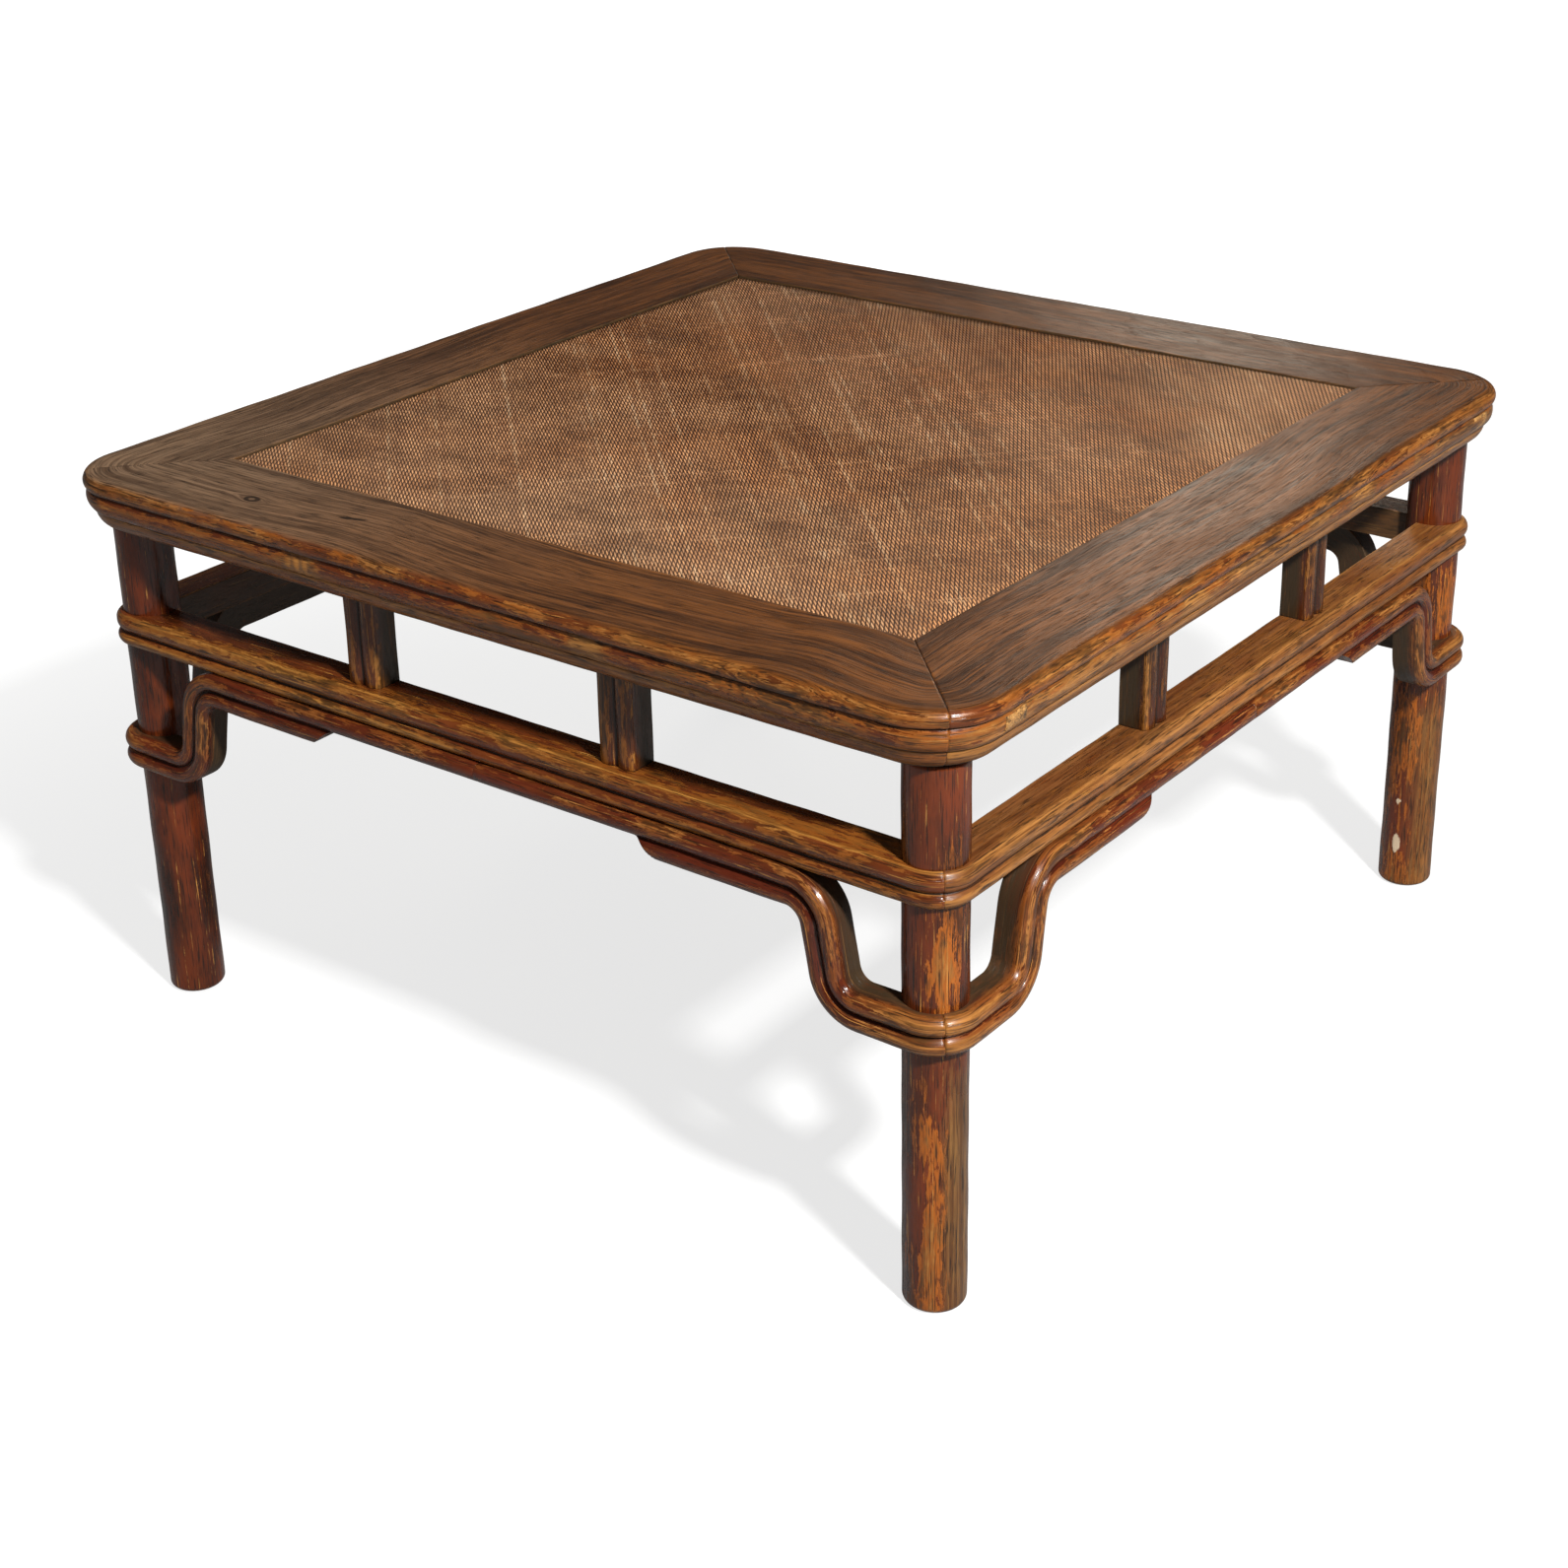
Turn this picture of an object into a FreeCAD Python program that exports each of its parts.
"""A square low table with a woven cane top, built as a joiner builds it.

Four round legs carry a mitred top frame.  Straight stretchers and humped
stretchers wrap round the outside of the legs, and short struts stand between
the straight stretchers and the strip under the frame.

Every member is drawn in the place of the front one (outer face towards -Y)
and turned about Z to its own side.  Lengths are millimetres, +Z is up, and
the origin is on the floor under the middle of the table.
"""
import FreeCAD
import Part
import Sketcher
import math
import os

DRIVING = {
    "width": 840, "depth": 840, "height": 460,
    # top frame: rails with a two bead edge, and a rebate that carries the panel
    "rail_face": 98.5, "rail_thick": 30, "rail_corner": 56, "rail_upper_bead": 12,
    "rail_bead_depth": 3.5, "rail_lower_setback": 3, "rail_top_ease": 7.5, "ledge_width": 12,
    "ledge_thick": 16, "rail_tenon_start": 57, "rail_tenon_width": 24, "rail_tenon_thick": 12,
    "rail_tenon_floor": 4, "rail_tenon_end": 3.5,
    # strip under the frame: one bead that draws in to the legs
    "strip_thick": 15, "strip_setback": 7, "strip_draw": 13, "strip_back": 68,
    # panel: planks on the ledge, dovetailed braces under them, mat on top
    "board_thick": 10, "mat_thick": 2.5, "panel_gap": 0.5,
    "brace_spacing": 330, "brace_width": 40, "brace_height": 24, "dovetail_depth": 4,
    "dovetail_neck": 20, "dovetail_flare": 3, "brace_tenon_length": 16, "brace_tenon_thick": 10,
    "brace_tenon_width": 24,
    # legs
    "leg_inset": 45, "leg_radius": 22.5, "foot_round": 5, "leg_core": 10, "leg_tenon": 20,
    "leg_tenon_rise": 18,
    # straight stretchers
    "stretcher_thick": 26, "stretcher_upper_bead": 15, "stretcher_wrap": 6, "stretcher_back": 6,
    "stretcher_bead_depth": 4,
    # humped stretchers, each made of two halves that meet in the middle
    "hump_thick": 28, "hump_upper_bead": 14, "hump_wrap": 11, "hump_depth": 25.5, "hump_bead_depth": 5,
    "hump_drop": 78, "hump_bend": 26, "hump_bend_angle": 80, "hump_reach": 71, "cusp_reach": 150,
    "cusp_run": 13,
    # struts between the strip and the straight stretcher
    "strut_height": 73, "strut_width": 31, "strut_depth": 24, "strut_proud": 18, "strut_spacing": 244,
    "strut_bead_depth": 3, "strut_tenon_width": 14, "strut_tenon_depth": 10, "strut_tenon_length": 8,
    # joints between the wrapped members and the legs
    "wrap_tenon_length": 14, "wrap_tenon_height": 10, "wrap_tenon_edge": 2,
    "core_tenon_width": 8, "core_tenon_length": 7, "core_tenon_offset": 1,
    # loose tenons between the humped and the straight stretchers
    "loose_tenon_reach": 210, "loose_tenon_length": 30, "loose_tenon_thick": 8, "loose_tenon_depth": 7,
    # running clearance round a curved seat
    "seat_gap": 0.2,
}
PLANKS = 3

doc = FreeCAD.newDocument("cane_top_table")
sheet = doc.addObject("Spreadsheet::Sheet", "dims")
for row, (alias, number) in enumerate(DRIVING.items(), start=1):
    sheet.set("A%d" % row, alias)
    sheet.set("B%d" % row, str(number))
    sheet.setAlias("B%d" % row, alias)
doc.recompute()


class Length:
    """A number together with the sheet formula that gives it."""

    def __init__(self, value, formula=None):
        self.value = float(value)
        self.formula = formula if formula else "%g" % value

    def __float__(self):
        return self.value

    def _join(self, other, sign, value):
        other = as_length(other)
        return Length(value(self.value, other.value), "(%s %s %s)" % (self.formula, sign, other.formula))

    def __add__(self, other):
        return self._join(other, "+", lambda a, b: a + b)

    def __sub__(self, other):
        return self._join(other, "-", lambda a, b: a - b)

    def __mul__(self, other):
        return self._join(other, "*", lambda a, b: a * b)

    def __truediv__(self, other):
        return self._join(other, "/", lambda a, b: a / b)

    def __neg__(self):
        return Length(0) - self

    def __rsub__(self, other):
        return as_length(other) - self

    __radd__ = __add__
    __rmul__ = __mul__


def as_length(number):
    return number if isinstance(number, Length) else Length(number)


def size(alias):
    """A driving dimension from the sheet."""
    return Length(sheet.get(alias), "dims." + alias)


def turn_sine(angle):
    return Length(math.sin(math.radians(angle.value)), "sin(%s * 1 deg)" % angle.formula)


def turn_cosine(angle):
    return Length(math.cos(math.radians(angle.value)), "cos(%s * 1 deg)" % angle.formula)


def root(square):
    return Length(math.sqrt(square.value), "sqrt(%s)" % square.formula)


def bind(thing, prop, length):
    """Sets a property to a length and ties it to the length's formula."""
    thing.setExpression(prop, as_length(length).formula)


# Levels and outlines that several members share
rail_top = size("height")
rail_floor = rail_top - size("rail_thick")
strip_floor = rail_floor - size("strip_thick")
stretcher_top = strip_floor - size("strut_height")
stretcher_floor = stretcher_top - size("stretcher_thick")
hump_floor = stretcher_floor - size("hump_thick")
ring_floor = hump_floor - size("hump_drop")
ring_top = ring_floor + size("hump_thick")
ledge_top = rail_floor + size("ledge_thick")
board_top = ledge_top + size("board_thick")
brace_tenon_floor = rail_floor + 3
leg_radius = size("leg_radius")
core = size("leg_core")
inset = size("leg_inset")
loose_line = core + size("loose_tenon_thick")


class Side:
    """One of the four sides: half its length, the distance from the middle to
    its outer edge, and the turn that carries the front member there."""

    def __init__(self, name, along, across, turn):
        self.name = name
        self.along = size(along) / 2
        self.across = size(across) / 2
        self.turn = turn
        self.carries_tenons = turn in (0, 180)
        self.leg_x = self.along - inset
        self.leg_y = inset - self.across


SIDES = [
    Side("front", "width", "depth", 0),
    Side("right", "depth", "width", 90),
    Side("back", "width", "depth", 180),
    Side("left", "depth", "width", 270),
]


def new_body(label, turn=0):
    body = doc.addObject("PartDesign::Body", label)
    body.Label = label
    body.Placement = FreeCAD.Placement(FreeCAD.Vector(), FreeCAD.Rotation(FreeCAD.Vector(0, 0, 1), turn))
    return body


def new_sketch(body, name, plane, offset=0):
    """A sketch on one of the body's origin planes, moved along the plane's normal."""
    sketch = body.newObject("Sketcher::SketchObject", name)
    sketch.AttachmentSupport = [(f, "") for f in body.Origin.OriginFeatures if f.Role == plane]
    sketch.MapMode = "FlatFace"
    bind(sketch, "AttachmentOffset.Base.z", offset)
    return sketch


def pin_point(sketch, geometry, end, point):
    """Fixes a vertex at a place given by two lengths."""
    for kind, length in zip(("DistanceX", "DistanceY"), point):
        number = sketch.addConstraint(
            Sketcher.Constraint(kind, -1, 1, geometry, end, as_length(length).value))
        bind(sketch, "Constraints[%d]" % number, length)


def arc_between(start, end, radius, bulge):
    """The arc of a radius from start to end.  Bulge is 1 when it turns
    anticlockwise on its way, and -1 when it turns clockwise."""
    x0, y0 = (float(v) for v in start)
    x1, y1 = (float(v) for v in end)
    half_x, half_y = (x1 - x0) / 2, (y1 - y0) / 2
    half_chord = math.hypot(half_x, half_y)
    rise = math.sqrt(max(float(radius) ** 2 - half_chord ** 2, 0.0))
    centre_x = x0 + half_x - bulge * half_y / half_chord * rise
    centre_y = y0 + half_y + bulge * half_x / half_chord * rise
    first = math.atan2(y0 - centre_y, x0 - centre_x)
    last = math.atan2(y1 - centre_y, x1 - centre_x)
    if bulge < 0:
        first, last = last, first
    circle = Part.Circle(FreeCAD.Vector(centre_x, centre_y, 0), FreeCAD.Vector(0, 0, 1), float(radius))
    return Part.ArcOfCircle(circle, first, last)


def draw(sketch, points, closed=True):
    """Draws a chain of lines and arcs.  Each entry of points is (x, y) or
    (x, y, radius, bulge), where the last two describe the arc that arrives there."""
    pairs = list(zip(points, points[1:] + points[:1])) if closed else list(zip(points, points[1:]))
    ends = []
    for start, end in pairs:
        if len(end) == 2:
            a, b = (FreeCAD.Vector(float(p[0]), float(p[1]), 0) for p in (start, end))
            number = sketch.addGeometry(Part.LineSegment(a, b), False)
            ends.append((number, 1, 2))
        else:
            radius, bulge = end[2], end[3]
            number = sketch.addGeometry(arc_between(start[:2], end[:2], radius, bulge), False)
            ends.append((number, 1, 2) if bulge > 0 else (number, 2, 1))
            mark = sketch.addConstraint(Sketcher.Constraint("Radius", number, float(radius)))
            bind(sketch, "Constraints[%d]" % mark, radius)
    for (start, end), (number, first, last) in zip(pairs, ends):
        pin_point(sketch, number, first, start[:2])
    for here, after in zip(ends, ends[1:] + (ends[:1] if closed else [])):
        sketch.addConstraint(Sketcher.Constraint("Coincident", here[0], here[2], after[0], after[1]))
    if not closed:
        pin_point(sketch, ends[-1][0], ends[-1][2], points[-1][:2])
    return sketch


def pad(body, name, sketch, length):
    feature = body.newObject("PartDesign::Pad", name)
    feature.Profile = sketch
    bind(feature, "Length", length)
    return feature


def pocket(body, name, sketch, length, both_ways=False, backwards=False):
    feature = body.newObject("PartDesign::Pocket", name)
    feature.Profile = sketch
    feature.Midplane = both_ways
    feature.Reversed = backwards
    bind(feature, "Length", length)
    return feature


def corner_turn(body, kind, name, sketch, angle, backwards=False):
    """Carries a section round the upright axis drawn in its sketch."""
    feature = body.newObject(kind, name)
    feature.Profile = sketch
    feature.ReferenceAxis = (sketch, ["Axis0"])
    feature.Angle = angle
    feature.Reversed = backwards
    return feature


def upright_axis(sketch, x):
    """A construction line in the sketch that a corner turns round."""
    line = Part.LineSegment(FreeCAD.Vector(float(x), 0, 0), FreeCAD.Vector(float(x), 10, 0))
    number = sketch.addGeometry(line, True)
    pin_point(sketch, number, 1, (x, 0))
    pin_point(sketch, number, 2, (x, 10))


def block(body, kind, name, low, high):
    """An upright block between two corners, added to the body or cut from it."""
    feature = body.newObject("PartDesign::%sBox" % kind, name)
    for prop, axis, a, b in zip(("Length", "Width", "Height"), "xyz", low, high):
        bind(feature, prop, as_length(b) - a)
        bind(feature, "Placement.Base." + axis, a)
    return feature


def mirrored(body, name, features):
    """Repeats features on the other half of a member."""
    feature = body.newObject("PartDesign::Mirrored", name)
    feature.Originals = features
    plane = [f for f in body.Origin.OriginFeatures if f.Role == "YZ_Plane"][0]
    feature.MirrorPlane = (plane, [""])
    body.Tip = feature
    return feature


def bead_radius(height, sag):
    """Radius of an arc with this chord and this rise."""
    half = height / 2
    return (half * half + sag * sag) / (sag * 2)


def bead_cutter(outer, top, floor, beads, sag, air=4):
    """Outline, in (y, z), of what a moulding plane takes off an outer face so that
    beads of the given heights stand there one under another."""
    points = [(outer - air, top + air), (outer + sag, top + air), (outer + sag, top)]
    level = top
    for height in beads:
        level = level - height
        points.append((outer + sag, level, bead_radius(height, sag), 1))
    points += [(outer + sag, floor - air), (outer - air, floor - air)]
    return points


def mould(body, outline, straight, corner_y):
    """Cuts a moulding along the straight of a member and round both its corners."""
    along = draw(new_sketch(body, body.Name + "_edge", "YZ_Plane"), outline)
    pocket(body, body.Name + "_straight", along, straight * 2, both_ways=True)
    turn = draw(new_sketch(body, body.Name + "_turn", "YZ_Plane", straight), outline)
    upright_axis(turn, corner_y)
    corner = corner_turn(body, "PartDesign::Groove", body.Name + "_corner", turn, 50)
    mirrored(body, body.Name + "_corners", [corner])


def leg_tenon_hole(body, side, top):
    """Opens both mitred ends of a member for the tenons on top of the legs."""
    half = size("leg_tenon") / 2
    for hand in (1, -1):
        middle = side.leg_x * hand
        block(body, "Subtractive", body.Name + "_leg_hole",
              (middle - half, side.leg_y - half, strip_floor - 1),
              (middle + half, side.leg_y + half, top))


def rail(side):
    """A rail of the top frame: mitred plank, moulded edge, rebate for the panel.
    Front and back rails carry the corner tenons, the others are mortised through."""
    body = new_body("top_rail_" + side.name, side.turn)
    corner = size("rail_corner")
    nook = corner * (1 - math.sqrt(0.5))
    face = size("rail_face")
    back = face + size("ledge_width")
    half, edge = side.along, -side.across
    plan = draw(new_sketch(body, body.Name + "_plan", "XY_Plane", rail_floor), [
        (corner - half, edge, corner, 1),
        (half - corner, edge),
        (half - nook, edge + nook, corner, 1),
        (half - back, edge + back),
        (back - half, edge + back),
        (nook - half, edge + nook),
    ])
    pad(body, body.Name + "_plank", plan, size("rail_thick"))

    ease, upper = size("rail_top_ease"), size("rail_upper_bead")
    groove = size("rail_bead_depth")
    lower, setback = size("rail_thick") - upper, size("rail_lower_setback")
    lip = ease - root(ease * ease - (upper - ease) * (upper - ease))
    chord = root(lower * lower + setback * setback)
    mould(body, [
        (edge - 4, rail_top + 4),
        (edge + ease, rail_top + 4),
        (edge + ease, rail_top),
        (edge + lip, rail_top - upper, ease, 1),
        (edge + groove, rail_top - upper),
        (edge + groove + setback, rail_floor, bead_radius(chord, groove), 1),
        (edge + groove + setback, rail_floor - 4),
        (edge - 4, rail_floor - 4),
    ], half - corner, edge + corner)

    block(body, "Subtractive", body.Name + "_rebate",
          (-half, edge + face, ledge_top), (half, edge + back + 1, rail_top + 1))
    leg_tenon_hole(body, side, rail_floor + size("leg_tenon_rise"))

    start, broad = size("rail_tenon_start"), size("rail_tenon_width")
    floor = rail_floor + size("rail_tenon_floor")
    tip = size("rail_tenon_end")
    for hand in (1, -1):
        if side.carries_tenons:
            low, high = sorted((hand * (half - start - broad - 1), hand * (half - tip)), key=float)
            block(body, "Additive", body.Name + "_tenon", (low, edge + start, floor),
                  (high, edge + start + broad, floor + size("rail_tenon_thick")))
        else:
            low, high = sorted((hand * (half - start - broad), hand * (half - start)), key=float)
            block(body, "Subtractive", body.Name + "_mortise", (low, edge - 4, floor),
                  (high, edge + start + broad + 1, floor + size("rail_tenon_thick")))
        if side.carries_tenons:
            middle = size("brace_spacing") / 2 * hand
            narrow = size("brace_tenon_width") / 2
            block(body, "Subtractive", body.Name + "_brace_mortise",
                  (middle - narrow, edge + back - size("brace_tenon_length"), brace_tenon_floor),
                  (middle + narrow, edge + back + 1, brace_tenon_floor + size("brace_tenon_thick")))
    return body


def strip(side):
    """The moulded strip under a rail.  Its bead draws in towards the legs."""
    body = new_body("edge_strip_" + side.name, side.turn)
    setback, back = size("strip_setback"), size("strip_back")
    corner = size("rail_corner") - setback
    nook = corner * (1 - math.sqrt(0.5)) + setback
    half, edge = side.along, -side.across
    straight = half - size("rail_corner")
    plan = draw(new_sketch(body, body.Name + "_plan", "XY_Plane", strip_floor), [
        (-straight, edge + setback, corner, 1),
        (straight, edge + setback),
        (half - nook, edge + nook, corner, 1),
        (half - back, edge + back),
        (back - half, edge + back),
        (nook - half, edge + nook),
    ])
    pad(body, body.Name + "_plank", plan, size("strip_thick"))
    draw_in, thick = size("strip_draw"), size("strip_thick")
    chord = root(thick * thick + draw_in * draw_in)
    outer = edge + setback
    mould(body, [
        (outer - 4, rail_floor + 4),
        (outer, rail_floor + 4),
        (outer, rail_floor),
        (outer + draw_in, strip_floor, chord * 0.8, 1),
        (outer + draw_in, strip_floor - 4),
        (outer - 4, strip_floor - 4),
    ], straight, edge + size("rail_corner"))
    leg_tenon_hole(body, side, rail_floor + 1)
    strut_mortises(body, side, strip_floor, strip_floor + size("strut_tenon_length"))
    return body


def strut_mortises(body, side, low, high):
    """Sockets for the tenons of both struts of a side."""
    narrow, deep = size("strut_tenon_width") / 2, size("strut_tenon_depth") / 2
    line = side.leg_y - size("strut_proud") + size("strut_depth") / 2
    for hand in (1, -1):
        middle = size("strut_spacing") / 2 * hand
        block(body, "Subtractive", body.Name + "_strut_mortise",
              (middle - narrow, line - deep, low), (middle + narrow, line + deep, high))


def wrap_tenon(body, side, hand, back, low, high):
    """The tenon by which a straight stretcher enters the side of a leg."""
    edge, middle = size("wrap_tenon_edge"), (low + high) / 2
    half = size("wrap_tenon_height") / 2
    reach = leg_radius - size("wrap_tenon_length")
    ends = sorted((hand * (side.leg_x - leg_radius - 4), hand * (side.leg_x - reach)), key=float)
    block(body, "Additive", body.Name + "_tenon",
          (ends[0], side.leg_y - core + edge, middle - half),
          (ends[1], side.leg_y + back - edge, middle + half))


def loose_mortise(body, side, hand, low, high):
    """Half of the socket of a loose tenon between two stretchers."""
    half, thick = size("loose_tenon_length") / 2, size("loose_tenon_thick") / 2
    middle, line = size("loose_tenon_reach") * hand, side.leg_y - loose_line
    block(body, "Subtractive", body.Name + "_loose_mortise",
          (middle - half, line - thick, low), (middle + half, line + thick, high))


def stretcher(side):
    """A straight stretcher.  Its ends wrap the outside of the legs and are mitred
    to the next stretcher; a flat seat and a tenon hold each leg."""
    body = new_body("stretcher_" + side.name, side.turn)
    outer = leg_radius + size("stretcher_wrap")
    back = size("stretcher_back")
    nook = outer * math.sqrt(0.5)
    seat = leg_radius + size("seat_gap")
    at_core = root(seat * seat - core * core)
    at_back = root(seat * seat - back * back)
    x, y = side.leg_x, side.leg_y
    plan = draw(new_sketch(body, body.Name + "_plan", "XY_Plane", stretcher_floor), [
        (-x, y - outer, outer, 1),
        (x, y - outer),
        (x + nook, y - nook, outer, 1),
        (x + core, y - core),
        (x - at_core, y - core),
        (x - at_back, y + back, seat, -1),
        (at_back - x, y + back),
        (at_core - x, y - core, seat, -1),
        (-x - core, y - core),
        (-x - nook, y - nook),
    ])
    pad(body, body.Name + "_bar", plan, size("stretcher_thick"))
    upper = size("stretcher_upper_bead")
    beads = [upper, size("stretcher_thick") - upper]
    mould(body, bead_cutter(y - outer, stretcher_top, stretcher_floor, beads,
                            size("stretcher_bead_depth")), x, y)
    strut_mortises(body, side, stretcher_top - size("strut_tenon_length"), stretcher_top + 1)
    for hand in (1, -1):
        loose_mortise(body, side, hand, stretcher_floor, stretcher_floor + size("loose_tenon_depth"))
        wrap_tenon(body, side, hand, back, stretcher_floor, stretcher_top)
    return body


def hump_section(outer, back, inner_beads):
    """Outline, in (y, z), of a humped stretcher as far back as the given line."""
    sag = size("hump_bead_depth")
    points = [(back, hump_floor), (back, stretcher_floor), (outer + sag, stretcher_floor)]
    level = stretcher_floor
    for height in inner_beads:
        level = level - height
        points.append((outer + sag, level, bead_radius(height, sag), 1))
    return points


def hump_half(side, hand, end):
    """Half of a humped stretcher.  It runs from the middle under the straight
    stretcher, swings down in an S, and wraps the leg lower down.  The lower bead
    stops in a cusp, so that only the upper one crosses the middle."""
    body = new_body("hump_%s_%s" % (side.name, end), side.turn)
    thick, upper = size("hump_thick"), size("hump_upper_bead")
    beads = [upper, thick - upper]
    outer_radius = leg_radius + size("hump_wrap")
    x, y = side.leg_x, side.leg_y
    outer = y - outer_radius
    back = outer + size("hump_depth")

    section = draw(new_sketch(body, body.Name + "_section", "YZ_Plane"), hump_section(outer, back, beads))
    bend, angle = size("hump_bend"), size("hump_bend_angle")
    across, down = bend * turn_sine(angle), bend * (1 - turn_cosine(angle))
    fall = size("hump_drop") - down * 2
    slope = fall * turn_cosine(angle) / turn_sine(angle)
    middle = x - size("hump_reach")
    near, far = middle - slope / 2, middle + slope / 2
    high, low = hump_floor + thick / 2, ring_floor + thick / 2
    path = draw(new_sketch(body, body.Name + "_path", "XZ_Plane", -y), [
        (Length(0), high),
        (hand * (near - across), high),
        (hand * near, high - down, bend, -hand),
        (hand * far, low + down),
        (hand * (far + across), low, bend, hand),
        (hand * x, low),
    ], closed=False)
    sweep = body.newObject("PartDesign::AdditivePipe", body.Name + "_sweep")
    sweep.Profile = section
    sweep.Spine = path

    turn = draw(new_sketch(body, body.Name + "_turn", "YZ_Plane", hand * x),
                [(p[0], p[1] - size("hump_drop")) + tuple(p[2:])
                 for p in hump_section(outer, y - core / 2, beads)])
    upright_axis(turn, y)
    corner_turn(body, "PartDesign::Revolution", body.Name + "_corner", turn, 45, backwards=hand < 0)

    run, lower = size("cusp_run"), thick - upper
    tip = size("cusp_reach") + run
    cusp = draw(new_sketch(body, body.Name + "_cusp_line", "XZ_Plane"), [
        (Length(-hand), hump_floor - 2),
        (hand * tip, hump_floor - 2),
        (hand * tip, hump_floor),
        (hand * size("cusp_reach"), hump_floor + lower, root(run * run + lower * lower) * 0.72, hand),
        (Length(-hand), hump_floor + lower),
    ])
    pocket(body, body.Name + "_cusp", cusp, side.across * 4, both_ways=True)

    seat = leg_radius + size("seat_gap")
    at_core = root(seat * seat - core * core)
    grip = draw(new_sketch(body, body.Name + "_seat", "XY_Plane", ring_top + 2), [
        (hand * (x - at_core), y - core, seat, hand),
        (hand * (x + core + 4), y - core),
        (hand * (x + core + 4), y),
        (hand * (x - seat), y),
    ])
    pocket(body, body.Name + "_leg_seat", grip, thick + 4)
    loose_mortise(body, side, hand, stretcher_floor - size("loose_tenon_depth"), stretcher_floor + 1)
    offset, half = size("core_tenon_offset"), size("wrap_tenon_height") / 2
    ends = sorted((hand * (x - offset - size("core_tenon_width")), hand * (x - offset)), key=float)
    block(body, "Additive", body.Name + "_tenon", (ends[0], y - core - 2, low - half),
          (ends[1], y - core + size("core_tenon_length"), low + half))
    return body


def strut(side, hand, end):
    """A short upright between the straight stretcher and the strip, with a
    two bead face and a tenon at each end."""
    body = new_body("strut_%s_%s" % (side.name, end), side.turn)
    half, sag = size("strut_width") / 2, size("strut_bead_depth")
    middle = size("strut_spacing") / 2 * hand
    face = side.leg_y - size("strut_proud")
    back = face + size("strut_depth")
    radius = bead_radius(half, sag)
    plan = draw(new_sketch(body, body.Name + "_plan", "XY_Plane", stretcher_top), [
        (middle - half, face + sag),
        (middle, face + sag, radius, 1),
        (middle + half, face + sag, radius, 1),
        (middle + half, back),
        (middle - half, back),
    ])
    pad(body, body.Name + "_post", plan, size("strut_height"))
    narrow, deep = size("strut_tenon_width") / 2, size("strut_tenon_depth") / 2
    line = (face + back) / 2
    length = size("strut_tenon_length")
    for low, high in ((stretcher_top - length, stretcher_top + 2), (strip_floor - 2, strip_floor + length)):
        block(body, "Additive", body.Name + "_tenon",
              (middle - narrow, line - deep, low), (middle + narrow, line + deep, high))
    return body


def leg(name, x, y, turn):
    """A round leg drawn with its outer sides towards -Y and +X.  It is notched there
    for the stretchers that wrap it, and has a square tenon on top."""
    body = new_body("leg_" + name, turn)
    bind(body, "Placement.Base.x", x)
    bind(body, "Placement.Base.y", y)
    foot, zero = size("foot_round"), Length(0)
    outline = draw(new_sketch(body, body.Name + "_outline", "XZ_Plane"), [
        (zero, zero),
        (leg_radius - foot, zero),
        (leg_radius, foot, foot, 1),
        (leg_radius, strip_floor),
        (zero, strip_floor),
    ])
    turned = body.newObject("PartDesign::Revolution", body.Name + "_round")
    turned.Profile = outline
    turned.ReferenceAxis = (outline, ["V_Axis"])
    turned.Angle = 360
    half = size("leg_tenon") / 2
    block(body, "Additive", body.Name + "_tenon", (-half, -half, strip_floor - 2),
          (half, half, rail_floor + size("leg_tenon_rise")))
    wide = leg_radius + 4
    rise = size("wrap_tenon_height") / 2
    for low, high in ((stretcher_floor, stretcher_top), (ring_floor, ring_top)):
        block(body, "Subtractive", body.Name + "_front_notch", (-wide, -wide, low), (wide, -core, high))
        block(body, "Subtractive", body.Name + "_side_notch", (core, -wide, low), (wide, wide, high))
    edge, back = size("wrap_tenon_edge"), size("stretcher_back")
    reach = leg_radius - size("wrap_tenon_length")
    middle = (stretcher_floor + stretcher_top) / 2
    block(body, "Subtractive", body.Name + "_front_mortise",
          (-wide, edge - core, middle - rise), (-reach, back - edge, middle + rise))
    block(body, "Subtractive", body.Name + "_side_mortise",
          (edge - back, reach, middle - rise), (core - edge, wide, middle + rise))
    offset, broad = size("core_tenon_offset"), size("core_tenon_width")
    deep = core - size("core_tenon_length")
    middle = (ring_floor + ring_top) / 2
    block(body, "Subtractive", body.Name + "_front_core_mortise",
          (-offset - broad, -core - 1, middle - rise), (-offset, -deep, middle + rise))
    block(body, "Subtractive", body.Name + "_side_core_mortise",
          (deep, offset, middle - rise), (core + 1, offset + broad, middle + rise))
    return body


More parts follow.
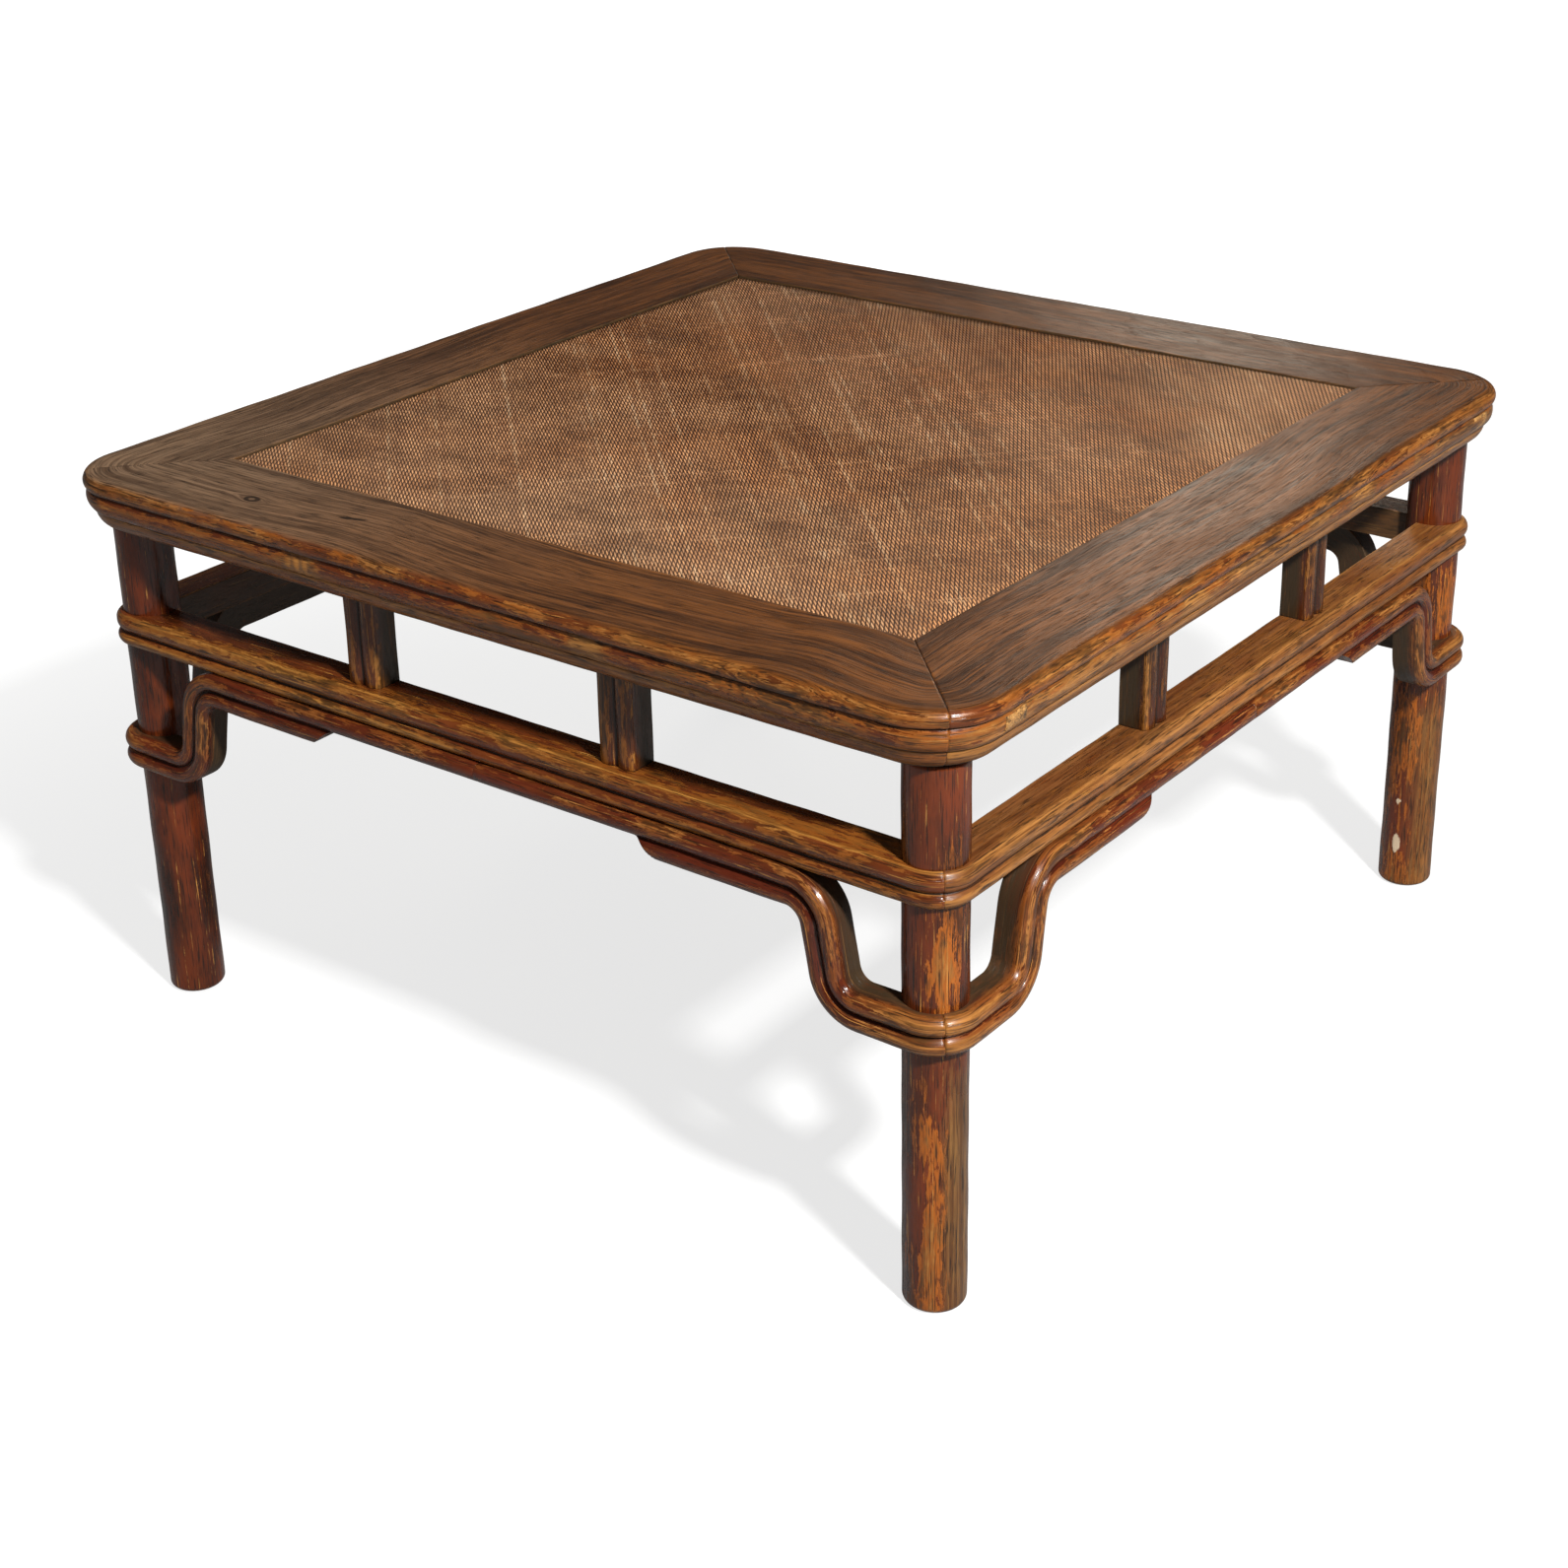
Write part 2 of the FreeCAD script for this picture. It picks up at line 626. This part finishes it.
def brace(name, hand):
    """A brace under the planks, from the front rail to the back one, with a
    dovetail key along its top."""
    body = new_body("brace_" + name)
    middle = size("brace_spacing") / 2 * hand
    half, neck = size("brace_width") / 2, size("dovetail_neck") / 2
    flare, key = size("dovetail_flare"), size("dovetail_depth")
    floor = ledge_top - size("brace_height")
    span = size("depth") - (size("rail_face") + size("ledge_width")) * 2
    section = draw(new_sketch(body, body.Name + "_section", "XZ_Plane"), [
        (middle - half, floor),
        (middle + half, floor),
        (middle + half, ledge_top),
        (middle + neck, ledge_top),
        (middle + neck + flare, ledge_top + key),
        (middle - neck - flare, ledge_top + key),
        (middle - neck, ledge_top),
        (middle - half, ledge_top),
    ])
    bar = pad(body, body.Name + "_bar", section, span)
    bar.Midplane = True
    narrow = size("brace_tenon_width") / 2
    length = size("brace_tenon_length")
    for way in (1, -1):
        low, high = sorted((way * (span / 2 - 2), way * (span / 2 + length)), key=float)
        block(body, "Additive", body.Name + "_tenon", (middle - narrow, low, brace_tenon_floor),
              (middle + narrow, high, brace_tenon_floor + size("brace_tenon_thick")))
    return body


def plank(number):
    """One of the planks of the panel, grooved underneath for the braces."""
    body = new_body("panel_plank_%d" % (number + 1))
    gap = size("panel_gap")
    half_x = size("width") / 2 - size("rail_face") - gap
    half_y = size("depth") / 2 - size("rail_face") - gap
    broad = half_y * 2 / PLANKS
    low = broad * number - half_y
    block(body, "Additive", body.Name + "_board", (-half_x, low, ledge_top), (half_x, low + broad, board_top))
    neck, key = size("dovetail_neck") / 2, size("dovetail_depth")
    flare = size("dovetail_flare")
    slots = new_sketch(body, body.Name + "_slots", "XZ_Plane")
    for hand in (1, -1):
        middle = size("brace_spacing") / 2 * hand
        draw(slots, [
            (middle - neck, ledge_top),
            (middle + neck, ledge_top),
            (middle + neck + flare, ledge_top + key),
            (middle - neck - flare, ledge_top + key),
        ])
    pocket(body, body.Name + "_grooves", slots, size("depth") * 2, both_ways=True)
    return body


def mat():
    """The woven mat that covers the planks, a little below the faces of the rails."""
    body = new_body("cane_mat")
    gap = size("panel_gap")
    half_x = size("width") / 2 - size("rail_face") - gap
    half_y = size("depth") / 2 - size("rail_face") - gap
    block(body, "Additive", "cane_mat_sheet", (-half_x, -half_y, board_top),
          (half_x, half_y, board_top + size("mat_thick")))
    return body


def loose_tenons():
    """The loose tenons that hold the humped stretchers to the straight ones."""
    half, thick = size("loose_tenon_length") / 2, size("loose_tenon_thick") / 2
    deep = size("loose_tenon_depth")
    keys = []
    for side in SIDES:
        for hand in (1, -1):
            key = doc.addObject("Part::Box", "loose_tenon")
            bind(key, "Length", half * 2)
            bind(key, "Width", thick * 2)
            bind(key, "Height", deep * 2)
            key.Placement.Rotation = FreeCAD.Rotation(FreeCAD.Vector(0, 0, 1), side.turn)
            corner_x, corner_y = size("loose_tenon_reach") * hand - half, side.leg_y - loose_line - thick
            turned = {0: (corner_x, corner_y), 90: (-corner_y, corner_x),
                      180: (-corner_x, -corner_y), 270: (corner_y, -corner_x)}[side.turn]
            bind(key, "Placement.Base.x", turned[0])
            bind(key, "Placement.Base.y", turned[1])
            bind(key, "Placement.Base.z", stretcher_floor - deep)
            keys.append(key)
    group = doc.addObject("Part::Compound", "loose_tenons")
    group.Label = "loose_tenons"
    group.Links = keys
    return group


parts = []
for side in SIDES:
    parts += [rail(side), strip(side), stretcher(side)]
    for hand, end in ((1, "right"), (-1, "left")):
        parts += [hump_half(side, hand, end), strut(side, hand, end)]
leg_x, leg_y = SIDES[0].leg_x, SIDES[0].leg_y
parts += [
    leg("front_right", leg_x, leg_y, 0),
    leg("back_right", leg_x, -leg_y, 90),
    leg("back_left", -leg_x, -leg_y, 180),
    leg("front_left", -leg_x, leg_y, 270),
    brace("right", 1),
    brace("left", -1),
    mat(),
    loose_tenons(),
]
parts += [plank(number) for number in range(PLANKS)]
doc.recompute()

for thing in doc.Objects:
    if "Invalid" in thing.State or "Error" in thing.State:
        raise RuntimeError("%s did not build: %s" % (thing.Label, thing.State))
os.makedirs("parts", exist_ok=True)
for part in parts:
    if part.Shape.isNull() or not part.Shape.isValid():
        raise RuntimeError("%s has no sound shape" % part.Label)
    part.Shape.exportStep("parts/%s.step" % part.Label)
